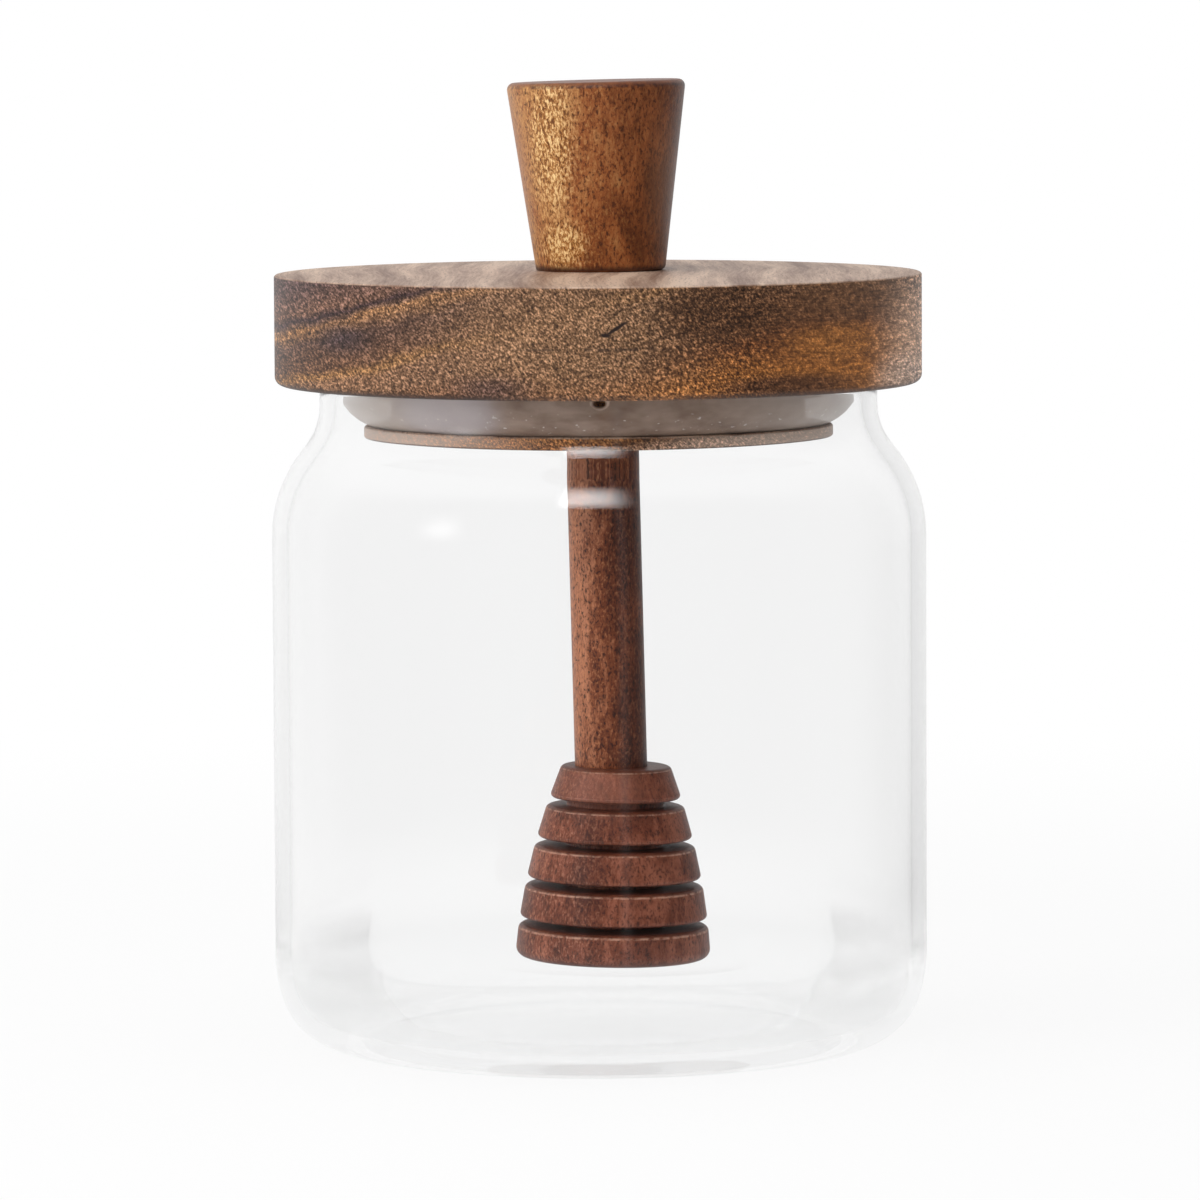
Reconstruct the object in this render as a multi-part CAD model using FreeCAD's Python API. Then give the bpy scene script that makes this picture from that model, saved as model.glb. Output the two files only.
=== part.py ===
import FreeCAD, Part

import math
import os

from FreeCAD import Vector

# A glass honey jar with a thick wooden lid. A silicone seal ring sits in a groove of the
# lid's plug, a tapered knob stands on the lid, and a wooden honey dipper hangs from it
# inside the jar. Millimetres and degrees. The origin is the middle of the jar's foot and
# +Z points up. The dipper hangs slightly askew, always within the XZ plane.

# Glass jar
BODY_R = 42.75          # outside of the straight body
JAR_H = 86.5            # foot to rim
WALL = 2.0              # glass of the body and the neck
FLOOR = 3.2             # foot to the inside floor
RIM_ROUND = 0.75        # rounding of the rim, inside and outside
SHOULDER_W = 6.35       # step in from the body to the neck
SHOULDER_DROP = 9.55    # rim to the middle of the sloping shoulder
NECK_FILLET = 8.5       # hollow bend between neck and shoulder, outside
SHOULDER_ROUND = 18.0   # round bend between shoulder and body, outside
HEEL_SLOPE = 20.0       # turn of the heel's upper, wider bend
HEEL_UPPER_ROUND = 18.0
HEEL_LOWER_ROUND = 8.5
INNER_HEEL_ROUND = 9.0  # inside corner between wall and floor
FOOT_RING = 2.2         # flat width of the ring that the jar stands on
PUSH_UP = 1.1           # rise of the underside inside that ring
PUSH_UP_RUN = 2.6       # width over which it rises
PUSH_UP_ROUND = 2.0

# Wooden lid: a disc on the rim, with a plug in the neck
DISC_INSET = 0.55       # disc's side inwards of the body's
DISC_H = 14.3
DISC_TOP_ROUND = 0.8
DISC_BOTTOM_ROUND = 1.6
GROOVE_DEPTH = 7.4      # neck's inside to the bottom of the seal's groove
GROOVE_H = 5.4
PLATE_CLEAR = 3.8       # neck's inside to the side of the plate below the groove
PLATE_H = 1.9
PLATE_ROUND = 0.4

# Silicone seal in that groove
SEAL_FOOT_W = 2.8       # width of the ring where it stands on the plate
SEAL_KNEE_IN = 1.2      # knee of the flared lip: inwards of the neck's inside
SEAL_KNEE_UP = 1.95     # and above the plate
SEAL_FLARE_ROUND = 8.0
SEAL_GAP = 0.1          # to the glass and to the bottom of the groove

# Knob, stick and their bores share the dipper's line, which passes the lid's top at DIPPER_X
DIPPER_X = 0.42
DIPPER_LEAN = 0.9       # top of the line towards -X
GLUE_GAP = 0.1          # round the stick in each bore
KNOB_H = 25.1
KNOB_BASE_R = 8.4
KNOB_TOP_R = 11.72
KNOB_TOP_ROUND = 0.9
KNOB_BASE_ROUND = 0.4
KNOB_SOCKET = 14.0      # depth of the stick in the knob
STICK_R = 4.74
STICK_END_ROUND = 0.5

# Dipper head: a beehive of rings round a core, glued on with a small lean of its own
HEAD_X = 1.8
HEAD_LEAN = 1.2         # top of the head towards +X
HEAD_CLEAR = 7.9        # inside floor to the underside of the head
HEAD_H = 25.2
HEAD_SOCKET = 7.5       # depth of the stick in the head
HEAD_TOP_R = 7.15
HEAD_BOTTOM_R = 12.85
HEAD_BULGE = 1.0        # bulge of the outline half way up
HEAD_BOTTOM_ROUND = 1.2
CORE_WALL = 1.56        # wood left round the stick at the bottom of a groove
RINGS = 5
GROOVE_GAP = 1.0
RING_UPPER_ROUND = 0.8
RING_LOWER_ROUND = 0.45

NECK_R = BODY_R - SHOULDER_W
NECK_BORE_R = NECK_R - WALL
LID_TOP = JAR_H + DISC_H
PLATE_TOP = JAR_H - GROOVE_H
GROOVE_R = NECK_BORE_R - GROOVE_DEPTH
BORE_R = STICK_R + GLUE_GAP
HEAD_TOP = FLOOR + HEAD_CLEAR + HEAD_H
STICK_LOW = HEAD_TOP - LID_TOP - HEAD_SOCKET    # along the dipper's line
BORE_REACH = 2 * LID_TOP                        # longer than any bore
TOUCHING = 1e-6


def bend(before, corner, after, radius):
    """Start, middle and end of the arc that rounds a corner between two straight sides."""
    back = (before - corner).normalize()
    ahead = (after - corner).normalize()
    half_angle = back.getAngle(ahead) / 2
    setback = radius / math.tan(half_angle)
    inwards = (back + ahead).normalize()
    middle = corner + inwards * (radius / math.sin(half_angle) - radius)
    return corner + back * setback, middle, corner + ahead * setback


def turned(outline):
    """Solid turned about Z from corners of (radius, height) or (radius, height, rounding)."""
    corners = [Vector(corner[0], 0, corner[1]) for corner in outline]
    bends = []
    for index, corner in enumerate(corners):
        if len(outline[index]) == 2:
            bends.append((corner, corner, corner))
            continue
        before = corners[index - 1]
        after = corners[(index + 1) % len(corners)]
        bends.append(bend(before, corner, after, outline[index][2]))
    edges = []
    for index, (start, middle, end) in enumerate(bends):
        last_end = bends[index - 1][2]
        if not last_end.isEqual(start, TOUCHING):
            edges.append(Part.LineSegment(last_end, start).toShape())
        if not start.isEqual(end, TOUCHING):
            edges.append(Part.Arc(start, middle, end).toShape())
    section = Part.Face(Part.Wire(edges))
    return section.revolve(Vector(0, 0, 0), Vector(0, 0, 1), 360)


def on_dipper_line(shape):
    """Places a shape whose own Z is the dipper's line, with z = 0 at the lid's top."""
    shape.rotate(Vector(0, 0, 0), Vector(0, 1, 0), -DIPPER_LEAN)
    shape.translate(Vector(DIPPER_X, 0, LID_TOP))
    return shape


def stick_bore(low, high):
    """Bore that the stick fits, between two places along the dipper's line."""
    return on_dipper_line(Part.makeCylinder(BORE_R, high - low, Vector(0, 0, low)))


def make_jar():
    """Shoulder and heel are each two bends that run straight into each other."""
    slope = math.acos(1 - SHOULDER_W / (NECK_FILLET + SHOULDER_ROUND))
    half_rise = SHOULDER_W / 2 / math.tan(slope)
    shoulder_mid = JAR_H - SHOULDER_DROP
    neck_bend = shoulder_mid + half_rise
    body_bend = shoulder_mid - half_rise
    inner_shift = WALL * math.tan(slope / 2)

    upper_turn = math.radians(HEEL_SLOPE)
    lower_turn = math.radians(90 - HEEL_SLOPE)
    lower_setback = HEEL_LOWER_ROUND * math.tan(lower_turn / 2)
    heel_slant = HEEL_UPPER_ROUND * math.tan(upper_turn / 2) + lower_setback
    heel_r = BODY_R - heel_slant * math.sin(upper_turn)
    ring_r = heel_r - lower_setback - FOOT_RING
    return turned([
        (0, PUSH_UP),
        (ring_r - PUSH_UP_RUN, PUSH_UP, PUSH_UP_ROUND),
        (ring_r, 0),
        (heel_r, 0, HEEL_LOWER_ROUND),
        (BODY_R, heel_slant * math.cos(upper_turn), HEEL_UPPER_ROUND),
        (BODY_R, body_bend, SHOULDER_ROUND),
        (NECK_R, neck_bend, NECK_FILLET),
        (NECK_R, JAR_H, RIM_ROUND),
        (NECK_BORE_R, JAR_H, RIM_ROUND),
        (NECK_BORE_R, neck_bend - inner_shift, NECK_FILLET + WALL),
        (BODY_R - WALL, body_bend - inner_shift, SHOULDER_ROUND - WALL),
        (BODY_R - WALL, FLOOR, INNER_HEEL_ROUND),
        (0, FLOOR),
    ])


def make_lid():
    plate_r = NECK_BORE_R - PLATE_CLEAR
    lid = turned([
        (0, PLATE_TOP - PLATE_H),
        (plate_r, PLATE_TOP - PLATE_H, PLATE_ROUND),
        (plate_r, PLATE_TOP, PLATE_ROUND),
        (GROOVE_R, PLATE_TOP),
        (GROOVE_R, JAR_H),
        (BODY_R - DISC_INSET, JAR_H, DISC_BOTTOM_ROUND),
        (BODY_R - DISC_INSET, LID_TOP, DISC_TOP_ROUND),
        (0, LID_TOP),
    ])
    return lid.cut(stick_bore(-BORE_REACH, BORE_REACH))


def make_seal():
    return turned([
        (GROOVE_R + SEAL_GAP, PLATE_TOP),
        (GROOVE_R + SEAL_FOOT_W, PLATE_TOP),
        (NECK_BORE_R - SEAL_KNEE_IN, PLATE_TOP + SEAL_KNEE_UP, SEAL_FLARE_ROUND),
        (NECK_BORE_R - SEAL_GAP, JAR_H),
        (GROOVE_R + SEAL_GAP, JAR_H),
    ])


def make_knob():
    """Cone on the leaning line, cut off level so that its base lies flat on the lid."""
    taper = (KNOB_TOP_R - KNOB_BASE_R) / KNOB_H
    sink = 2 * KNOB_BASE_R * math.tan(math.radians(DIPPER_LEAN))
    knob = on_dipper_line(turned([
        (0, -sink),
        (KNOB_BASE_R - taper * sink, -sink),
        (KNOB_TOP_R, KNOB_H, KNOB_TOP_ROUND),
        (0, KNOB_H),
    ]))
    knob = knob.cut(Part.makeCylinder(BODY_R, LID_TOP))
    base_edges = [edge for edge in knob.Edges if edge.BoundBox.ZMax < LID_TOP + TOUCHING]
    knob = knob.makeFillet(KNOB_BASE_ROUND, base_edges)
    return knob.cut(stick_bore(-BORE_REACH, KNOB_SOCKET))


def make_stick():
    return on_dipper_line(turned([
        (0, STICK_LOW),
        (STICK_R, STICK_LOW, STICK_END_ROUND),
        (STICK_R, KNOB_SOCKET, STICK_END_ROUND),
        (0, KNOB_SOCKET),
    ]))


def head_radius(depth):
    """Outline of the head at a depth below its top."""
    share = depth / HEAD_H
    straight = HEAD_TOP_R + (HEAD_BOTTOM_R - HEAD_TOP_R) * share
    return straight + 4 * HEAD_BULGE * share * (1 - share)


def make_head():
    core_r = BORE_R + CORE_WALL
    ring_h = (HEAD_H - GROOVE_GAP * (RINGS - 1)) / RINGS
    outline = [(0, 0)]
    for ring in range(RINGS):
        top = ring * (ring_h + GROOVE_GAP)
        bottom = top + ring_h
        if ring > 0:
            outline.append((core_r, -top))
        outline.append((head_radius(top), -top, RING_UPPER_ROUND))
        if ring < RINGS - 1:
            outline.append((head_radius(bottom), -bottom, RING_LOWER_ROUND))
            outline.append((core_r, -bottom))
    outline.append((head_radius(HEAD_H), -HEAD_H, HEAD_BOTTOM_ROUND))
    outline.append((0, -HEAD_H))
    head = turned(outline)
    head.rotate(Vector(0, 0, -HEAD_H / 2), Vector(0, 1, 0), HEAD_LEAN)
    head.translate(Vector(HEAD_X, 0, HEAD_TOP))
    return head.cut(stick_bore(STICK_LOW, BORE_REACH))


NODES = {
    "jar": make_jar,
    "lid": make_lid,
    "seal": make_seal,
    "knob": make_knob,
    "dipper_stick": make_stick,
    "dipper_head": make_head,
}

os.makedirs("parts", exist_ok=True)
for name, make in NODES.items():
    solids = make().Solids
    if len(solids) != 1 or not solids[0].isValid():
        raise ValueError(f"{name} isn't one sound solid")
    solids[0].exportStep(f"parts/{name}.step")
    print(name, f"{solids[0].Volume / 1000:.2f} cm3")
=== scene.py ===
import math

import bpy
from mathutils import Matrix, Vector, noise


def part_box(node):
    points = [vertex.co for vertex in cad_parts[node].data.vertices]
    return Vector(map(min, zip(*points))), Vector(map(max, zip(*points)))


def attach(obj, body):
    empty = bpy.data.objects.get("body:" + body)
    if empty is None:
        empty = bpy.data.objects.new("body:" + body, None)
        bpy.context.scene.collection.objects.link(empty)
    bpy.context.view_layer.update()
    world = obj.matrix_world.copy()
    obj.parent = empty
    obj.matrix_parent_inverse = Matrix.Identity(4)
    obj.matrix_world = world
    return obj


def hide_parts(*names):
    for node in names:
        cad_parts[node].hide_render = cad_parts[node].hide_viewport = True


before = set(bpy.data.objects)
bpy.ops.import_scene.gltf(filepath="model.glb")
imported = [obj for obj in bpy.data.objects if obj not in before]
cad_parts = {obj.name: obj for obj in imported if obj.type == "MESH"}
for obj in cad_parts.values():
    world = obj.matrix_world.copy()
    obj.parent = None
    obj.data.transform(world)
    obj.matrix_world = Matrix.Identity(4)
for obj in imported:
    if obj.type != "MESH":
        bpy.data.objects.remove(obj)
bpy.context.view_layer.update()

# Looks for a glass honey jar with a wooden lid, knob and dipper. Metres, in the CAD frame:
# +Z is up, the camera stands at -Y, and the image's right is +X. Azimuths are in degrees from
# the camera's side, positive left.

MM = 0.001

# Camera
CAMERA_DISTANCE = 950 * MM      # to the jar's axis
CAMERA_HEIGHT = 141.1 * MM
CAMERA_SIDE = 0.07 * MM
CAMERA_PITCH = 5.0              # degrees down
CAMERA_ROLL = 0.3               # degrees
SENSOR_WIDTH = 36.0             # in millimetres, as the lens is
LENS = 218.6

# World light for diffuse rays
FILL = 0.4
FILL_COLOUR = (0.98, 0.99, 1.0, 1)

# What gloss and glass reflect, where 1 is white: positions from the camera's side (0) to behind
# the object (1), and the level at each
MIRRORED = ((0.0, 0.04), (0.3, 0.08), (0.5, 0.32), (0.75, 0.72), (0.93, 0.8), (1.0, 1.0))
# Level added on the left, and share of the level lost on the right. Each is two sideways parts of
# the direction, from -1 for left to 1 for right, and the size at each.
LEFT_GLOW = (0.1, -0.5, 0.0, 0.12)
RIGHT_LOSS = (0.6, 1.0, 0.0, 0.6)
# Upright strips: level, azimuths
STRIPS = ((0.25, -9.5, -6.5), (0.1, 4, 9))
STRIP_SOFT = 1.5
# Panels: level, azimuths and their softness, lowest and highest sine of elevation and their softness
PANELS = (
    (2.4, 54, 65, 6, 7, 0.2, 0.36, 0.12, 0.16),
    (9.0, -8, 16, 10, 4, 0.66, 0.82, 0.02, 0.03),
)

# Lamps: name, azimuth and elevation in degrees, distance, width and height in metres, watts
LAMPS = (
    ("left_panel", 66, 18, 0.9, 0.6, 0.9, 5.2),
    ("front_panel", 15, 30, 1.1, 0.8, 0.5, 3.0),
    ("top_panel", 30, 80, 1.0, 0.8, 0.8, 4.0),
)
LAMPS_AIM = Vector((0, 0, 0.06))

# Ground. Each span is two distances from the axis in metres, and the share at each.
GROUND_SIZE = 2.4
GROUND_LEVEL = 0.9              # its colour, and its level in other reflections near the jar
GROUND_MIRROR = (0.08, 0.2, 0.0, 1.0)   # of the studio in those reflections
GROUND_WHITE = (0.1, 0.4, 0.86, 1.0)    # of plain white that the camera sees

# Sizes of the frame
jar_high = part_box("jar")[1]
lid_low, lid_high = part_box("lid")
seal_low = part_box("seal")[0]
BODY_R = jar_high.x
JAR_H = jar_high.z
DISC_R = lid_high.y
LID_TOP = lid_high.z
PLATE_LOW = lid_low.z
PLATE_TOP = seal_low.z

# Meshes: points round each piece, and the most between points along its outline
SEGMENTS = 256
SEAL_SEGMENTS = 3 * SEGMENTS
STICK_SEGMENTS = SEGMENTS // 2
WIDE_STEP = 1.0 * MM
ROD_STEP = 0.8 * MM
HEAD_STEP = 0.3 * MM
SEAL_STEP = 0.25 * MM
BEND_STEPS = 6                  # at least, in a rounded corner
TIGHT = 1 - 1e-6                # share of its round that a bend has where it meets the next
SAME_PLACE = 1e-7               # points nearer than this are one
ON_AXIS = 1e-9                  # and so is a row with a smaller radius

# Jar
WALL = 2.0 * MM
FLOOR = 3.2 * MM
NECK_R = BODY_R - 6.35 * MM
NECK_BORE_R = NECK_R - WALL
SHOULDER_MID = JAR_H - 9.55 * MM
NECK_FILLET = 8.5 * MM
SHOULDER_ROUND = 18.0 * MM
RIM_ROUND = 0.75 * MM
HEEL_SLOPE = math.radians(20)   # turn of the heel's upper bend; the lower one turns the rest
HEEL_UPPER_ROUND = 18.0 * MM
HEEL_LOWER_ROUND = 8.5 * MM
INNER_LOWER_ROUND = 4.6 * MM
FOOT_IN = 2.2 * MM              # from the heel's end to the standing ring
FOOT_ROUND = 0.3 * MM
PUSH_UP = 1.1 * MM
PUSH_UP_RUN = 2.6 * MM
PUSH_UP_ROUND = 2.0 * MM

# Blown glass. Scales of noise are per metre, each with a finer one of half its size.
WAVE = 0.2 * MM                 # slow waves in the inner floor, which fade upwards
WAVE_SCALES = (95, 210)
WAVE_TOP = 9 * MM
INNER_LOW = 2.5 * MM            # between the underside and the inner floor
RIPPLE = 0.55 * MM              # ripples low on the right, inwards only
RIPPLE_SCALES = (330, 620)
RIPPLE_TOP = 12 * MM
RIPPLE_INNER_R = 20 * MM
RIPPLE_SIDE = math.radians(62)  # to the right of the camera's side
RIPPLE_NARROW = 4               # power of the cosine away from there

# Lid
CROWN = 0.4 * MM                # its top rises this much from the rim to the knob
DISC_TOP_ROUND = 0.35 * MM
DISC_BOTTOM_ROUND = 1.1 * MM
PLATE_IN = 3.8 * MM             # from the neck's bore
PLATE_ROUND = 0.4 * MM
GROOVE_IN = 7.4 * MM

# Seal. It is measured in from the neck's bore.
SEAL_INNER_IN = 7.3 * MM
SEAL_FOOT_IN = 4.6 * MM
SEAL_KNEE_IN = 1.2 * MM
SEAL_KNEE_UP = 1.95 * MM
SEAL_FLARE_ROUND = 8.0 * MM
SEAL_LIP_IN = 0.1 * MM
VENT_X = 0.15 * MM
VENT_W = 2.1 * MM
VENT_H = 1.0 * MM
VENT_TOP = JAR_H - 0.4 * MM     # the vent is widest here
VENT_DEPTH = 1.6 * MM
VENT_STEEP = 3                  # times deeper, from its edge in, than a plain cone

# Knob and stick stand on one leaning line, and heights on it are from the lid's top
DIPPER_LEAN = math.radians(1.25)
KNOB_X = 0.42 * MM
KNOB_H = 25.0 * MM
KNOB_FOOT_R = 8.4 * MM
KNOB_TOP_R = 11.72 * MM
KNOB_FOOT_ROUND = 0.7 * MM
KNOB_TOP_ROUND = 0.9 * MM
KNOB_SUNK = 0.1 * MM            # below the crown's middle
STICK_X = 0.0
STICK_R = 4.74 * MM
STICK_LOW = -72 * MM
STICK_HIGH = 14 * MM
STICK_ROUND = 0.5 * MM

# Dipper head
HEAD_X = 1.8 * MM
HEAD_LEAN = math.radians(1.2)
HEAD_RISE = 7.9 * MM            # above the jar's inner floor
HEAD_H = 25.2 * MM
HEAD_TOP_R = 7.15 * MM
HEAD_SPREAD = 5.7 * MM          # the bottom's radius is larger by this
HEAD_BULGE = 1.0 * MM
CORE_R = 6.4 * MM
RINGS = 5
RING_GAP = 1.0 * MM
RING_H = (HEAD_H - RING_GAP * (RINGS - 1)) / RINGS
RING_UPPER_ROUND = 0.7 * MM
RING_LOWER_ROUND = 0.45 * MM
HEAD_BOTTOM_ROUND = 1.2 * MM


def rounded(corners, step):
    """Points along an outline of (radius, height, rounding) corners, no further apart than step.

    Each point is (radius, height, edge), where edge is 1 on a rounded corner and 0 elsewhere.
    """
    spots = [Vector((corner[0], corner[1])) for corner in corners]
    points = []

    def add(place, edge):
        if points:
            last = Vector(points[-1][:2])
            pieces = max(1, math.ceil((place - last).length / step))
            was = points[-1][2]
            for piece in range(1, pieces):
                between = last.lerp(place, piece / pieces)
                points.append((between.x, between.y, min(was, edge)))
        if not points or (place - Vector(points[-1][:2])).length > SAME_PLACE:
            points.append((place.x, place.y, edge))

    for index, spot in enumerate(spots):
        radius = corners[index][2]
        if radius == 0:
            add(spot, 0.0)
            continue
        back = (spots[index - 1] - spot).normalized()
        ahead = (spots[index + 1] - spot).normalized()
        half_angle = back.angle(ahead) / 2
        centre = spot + (back + ahead).normalized() * (radius / math.sin(half_angle))
        start = spot + back * (radius / math.tan(half_angle))
        end = spot + ahead * (radius / math.tan(half_angle))
        sweep = (start - centre).angle_signed(end - centre)
        steps = max(BEND_STEPS, math.ceil(abs(sweep) * radius / step))
        add(start, 0.0)
        for turn in range(1, steps):
            arm = (start - centre).copy()
            arm.rotate(Matrix.Rotation(-sweep * turn / steps, 2))
            add(centre + arm, 1.0)
        add(end, 0.0)
    return points


def lathe(name, points, segments, shift=None):
    """Closed mesh turned about Z. shift gives the small vector that a point moves by."""
    rows = []
    vertices = []
    edge_values = []
    for radius, height, edge in points:
        count = 1 if radius < ON_AXIS else segments
        row = []
        for segment in range(count):
            angle = 2 * math.pi * segment / segments
            place = Vector((radius * math.sin(angle), -radius * math.cos(angle), height))
            if shift:
                place += shift(place)
            row.append(len(vertices))
            vertices.append(place)
            edge_values.append(edge)
        rows.append(row)
    pairs = list(zip(rows, rows[1:]))
    if len(rows[0]) > 1:
        pairs.append((rows[-1], rows[0]))
    faces = []
    for low, high in pairs:
        for segment in range(segments):
            after = (segment + 1) % segments
            if len(low) == 1:
                faces.append((low[0], high[after], high[segment]))
            elif len(high) == 1:
                faces.append((low[segment], low[after], high[0]))
            else:
                faces.append((low[segment], low[after], high[after], high[segment]))
    mesh = bpy.data.meshes.new(name)
    mesh.from_pydata(vertices, [], faces)
    mesh.polygons.foreach_set("use_smooth", [True] * len(faces))
    edge_layer = mesh.attributes.new("edge", "FLOAT", "POINT")
    edge_layer.data.foreach_set("value", edge_values)
    mesh.update()
    piece = bpy.data.objects.new(name, mesh)
    bpy.context.collection.objects.link(piece)
    return piece


def dress(piece, material, slot, *nodes):
    piece.data.materials.append(material)
    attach(piece, "root")
    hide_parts(*nodes)


def tone(red, green, blue):
    """Linear colour from display values of 0 to 255."""
    def line(value):
        share = value / 255
        return share / 12.92 if share <= 0.04045 else ((share + 0.055) / 1.055) ** 2.4
    return (line(red), line(green), line(blue), 1.0)


class Graph:
    """Short calls that add nodes to a tree. An input is a number, a tuple or another node's output."""

    def __init__(self, tree):
        self.tree = tree

    def node(self, kind, inputs=(), output=0, **settings):
        added = self.tree.nodes.new("ShaderNode" + kind)
        for name, value in settings.items():
            setattr(added, name, value)
        for socket, value in dict(inputs).items():
            if isinstance(value, bpy.types.NodeSocket):
                self.tree.links.new(value, added.inputs[socket])
            else:
                added.inputs[socket].default_value = value
        return added.outputs[output]

    def calc(self, operation, *values):
        return self.node("Math", enumerate(values), operation=operation)

    def chain(self, operation, values):
        result = values[0]
        for value in values[1:]:
            result = self.calc(operation, result, value)
        return result

    def total(self, *values):
        return self.chain("ADD", values)

    def product(self, *values):
        return self.chain("MULTIPLY", values)

    def greatest(self, *values):
        return self.chain("MAXIMUM", values)

    def swing(self, value, size):
        """A value of 0 to 1 as one that swings by half of size to each side of 0."""
        return self.product(self.calc("SUBTRACT", value, 0.5), size)

    def scaled(self, vector, scale):
        return self.node("VectorMath", {0: vector, 1: scale}, operation="MULTIPLY")

    def length(self, vector):
        return self.node("VectorMath", {0: vector}, output="Value", operation="LENGTH")

    def part(self, vector, axis):
        return self.node("SeparateXYZ", {0: vector}, output=axis)

    def up(self):
        """1 where the surface faces up, 0 where it is upright and -1 where it faces down."""
        return self.part(self.node("NewGeometry", output="Normal"), "Z")

    def ray(self, kind):
        return self.node("LightPath", output=kind)

    def place(self, turn=(0, 0, 0), shift=(0, 0, 0)):
        """Object coordinates in millimetres, turned and then shifted."""
        return self.node("Mapping", {"Vector": self.node("TexCoord", output="Object"),
                                     "Scale": (1 / MM,) * 3, "Rotation": turn, "Location": shift})

    def noise(self, place, scale, detail=2.0, rough=0.5, distortion=0.0):
        """Noise of 0 to 1, with scale cells per unit of place along each axis."""
        return self.node("TexNoise", {"Vector": self.scaled(place, scale), "Scale": 1.0,
                                      "Detail": detail, "Roughness": rough, "Distortion": distortion})

    def grain(self, turn=(0, 0, 0), shift=(0, 0, 0), **settings):
        """Noise over the place in millimetres."""
        return self.noise(self.place(turn, shift), **settings)

    def span(self, value, low, high, start=0.0, end=1.0):
        """Smooth step from start at low to end at high."""
        return self.node("MapRange", {"Value": value, "From Min": low, "From Max": high,
                                      "To Min": start, "To Max": end}, interpolation_type="SMOOTHSTEP")

    def window(self, value, low, high, soft_low, soft_high):
        """1 between low and high and 0 beyond, with edges as wide as twice their softness."""
        return self.product(self.span(value, low - soft_low, low + soft_low),
                            self.span(value, high + soft_high, high - soft_high))

    def patch(self, centre, radii, soft, turn=(0, 0, 0)):
        """1 in the middle of an ellipsoid, 0 from its surface on. Centre and radii in millimetres."""
        away = self.place(shift=tuple(-value for value in centre))
        turned = self.node("Mapping", {"Vector": away, "Rotation": turn})
        scaled = self.scaled(turned, tuple(1 / radius for radius in radii))
        return self.span(self.length(scaled), 1.0, 1.0 - soft)

    def ramp(self, value, stops):
        output = self.node("ValToRGB", {"Fac": value})
        elements = output.node.color_ramp.elements
        for index, (position, colour) in enumerate(stops):
            stop = elements[index] if index < 2 else elements.new(position)
            stop.position = position
            stop.color = colour
        return output

    def tones(self, value, stops):
        """Ramp of display colours."""
        return self.ramp(value, [(position, tone(*colour)) for position, colour in stops])

    def mix(self, amount, first, second, kind="MIX"):
        """Mix of two colours, which are the node's sockets 6 and 7."""
        return self.node("Mix", {0: amount, 6: first, 7: second}, output=2,
                         data_type="RGBA", blend_type=kind)

    def between(self, amount, first, second):
        """Mix of two numbers."""
        return self.node("Mix", {0: amount, 2: first, 3: second})

    def lay(self, base, colour, amount, share=1.0):
        """Display colour laid over base by amount times share."""
        return self.mix(self.product(amount, share), base, tone(*colour))

    def lay_patches(self, base, patches):
        """Colours laid over base in order, each within its patch."""
        for centre, radii, soft, share, colour in patches:
            base = self.lay(base, colour, self.patch(centre, radii, soft), share)
        return base

    def bump(self, relief):
        return self.node("Bump", {"Strength": BUMP, "Distance": BUMP_DEPTH, "Height": relief})

    def show(self, shader, output):
        """Make a shader's output the surface of the material or world."""
        self.tree.links.new(shader, self.tree.nodes[output].inputs["Surface"])


def material_graph(name):
    material = bpy.data.materials.new(name)
    material.use_nodes = True
    graph = Graph(material.node_tree)
    shader = material.node_tree.nodes["Principled BSDF"]
    return material, graph, shader


def set_inputs(graph, shader, **inputs):
    for name, value in inputs.items():
        socket = shader.inputs[name.replace("_", " ")]
        if isinstance(value, bpy.types.NodeSocket):
            graph.tree.links.new(value, socket)
        else:
            socket.default_value = value


# The materials' settings stand above each of them. Colours are display values of 0 to 255, places
# and sizes are in millimetres, and a noise's scale is in cells per millimetre.
# A span is two values and, where they aren't 0 and 1, what it gives there.
# A patch is centre, radii and softness, and one with a colour also has its share and colour.

WOOD_IOR = 1.45
BUMP = 0.35
BUMP_DEPTH = 0.12 * MM

# Bands across the lid's end grain: place across the band, colour
LID_BANDS = (
    (-9.8, (176, 140, 112)),
    (-7.0, (112, 70, 36)),
    (-5.0, (150, 96, 50)),
    (-1.5, (158, 98, 44)),
    (2.0, (124, 74, 38)),
    (4.5, (112, 72, 44)),
    (8.0, (118, 84, 58)),
    (10.5, (126, 90, 62)),
    (11.4, (134, 94, 54)),
    (12.4, (100, 68, 46)),
    (15.6, (86, 60, 46)),
    (17.6, (140, 98, 60)),
    (18.1, (104, 74, 54)),
    (18.7, (58, 40, 38)),
    (19.5, (108, 76, 58)),
    (22.8, (84, 61, 54)),
)
BAND_RANGE = (-10.0, 25.0)
BAND_TILT = (0.966, -0.259)     # of height and of x: the bands rise by 15 degrees to the right
BAND_LEVELS = (12.0, 40.0, 0.0, 4.2)    # of x, which levels them out on the right
# Waves of the bands: noise, and the millimetres that it moves them by
BAND_WAVES = (
    (dict(scale=(0.05, 0.012, 0.07)), 3.0),
    (dict(scale=(0.22, 0.03, 0.3), shift=(31, 0, 0), detail=3.0), 2.0),
)

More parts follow.
